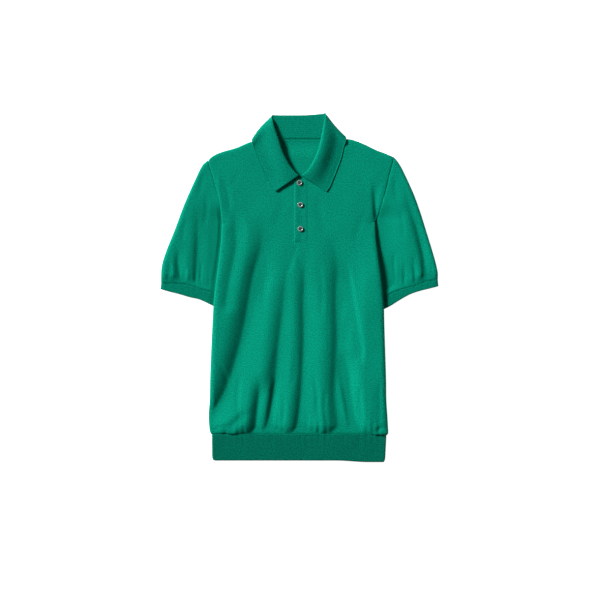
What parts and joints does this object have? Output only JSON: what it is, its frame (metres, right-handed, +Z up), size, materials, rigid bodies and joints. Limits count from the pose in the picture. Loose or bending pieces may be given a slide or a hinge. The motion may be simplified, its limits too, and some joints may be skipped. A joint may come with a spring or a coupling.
{
  "type": "short-sleeved polo shirt laid flat",
  "caption": "Knitted short-sleeved polo shirt laid flat, face up, with a folded collar, a button placket and ribbed cuffs and hem.",
  "frame": {"origin": "middle of the laid shirt's box, on the table", "axes": "+X to the wearer's left, +Y from the hem towards the collar, +Z up off the table"},
  "size_m": [0.598, 0.7498, 0.0179],
  "materials": {
    "jersey": "fine plain knit, matt with a soft nap",
    "rib": "fine rib knit, matt",
    "button": "polished grey pearl"
  },
  "bodies": {
    "root": {"front": "jersey", "back": "jersey", "sleeve_left": "jersey", "sleeve_right": "jersey", "placket_top": "jersey", "placket_under": "jersey", "cuff_left": "rib", "cuff_right": "rib", "hem_rib": "rib", "collar": "rib", "button_1": "button", "button_2": "button", "button_3": "button"}
  },
  "joints": []
}
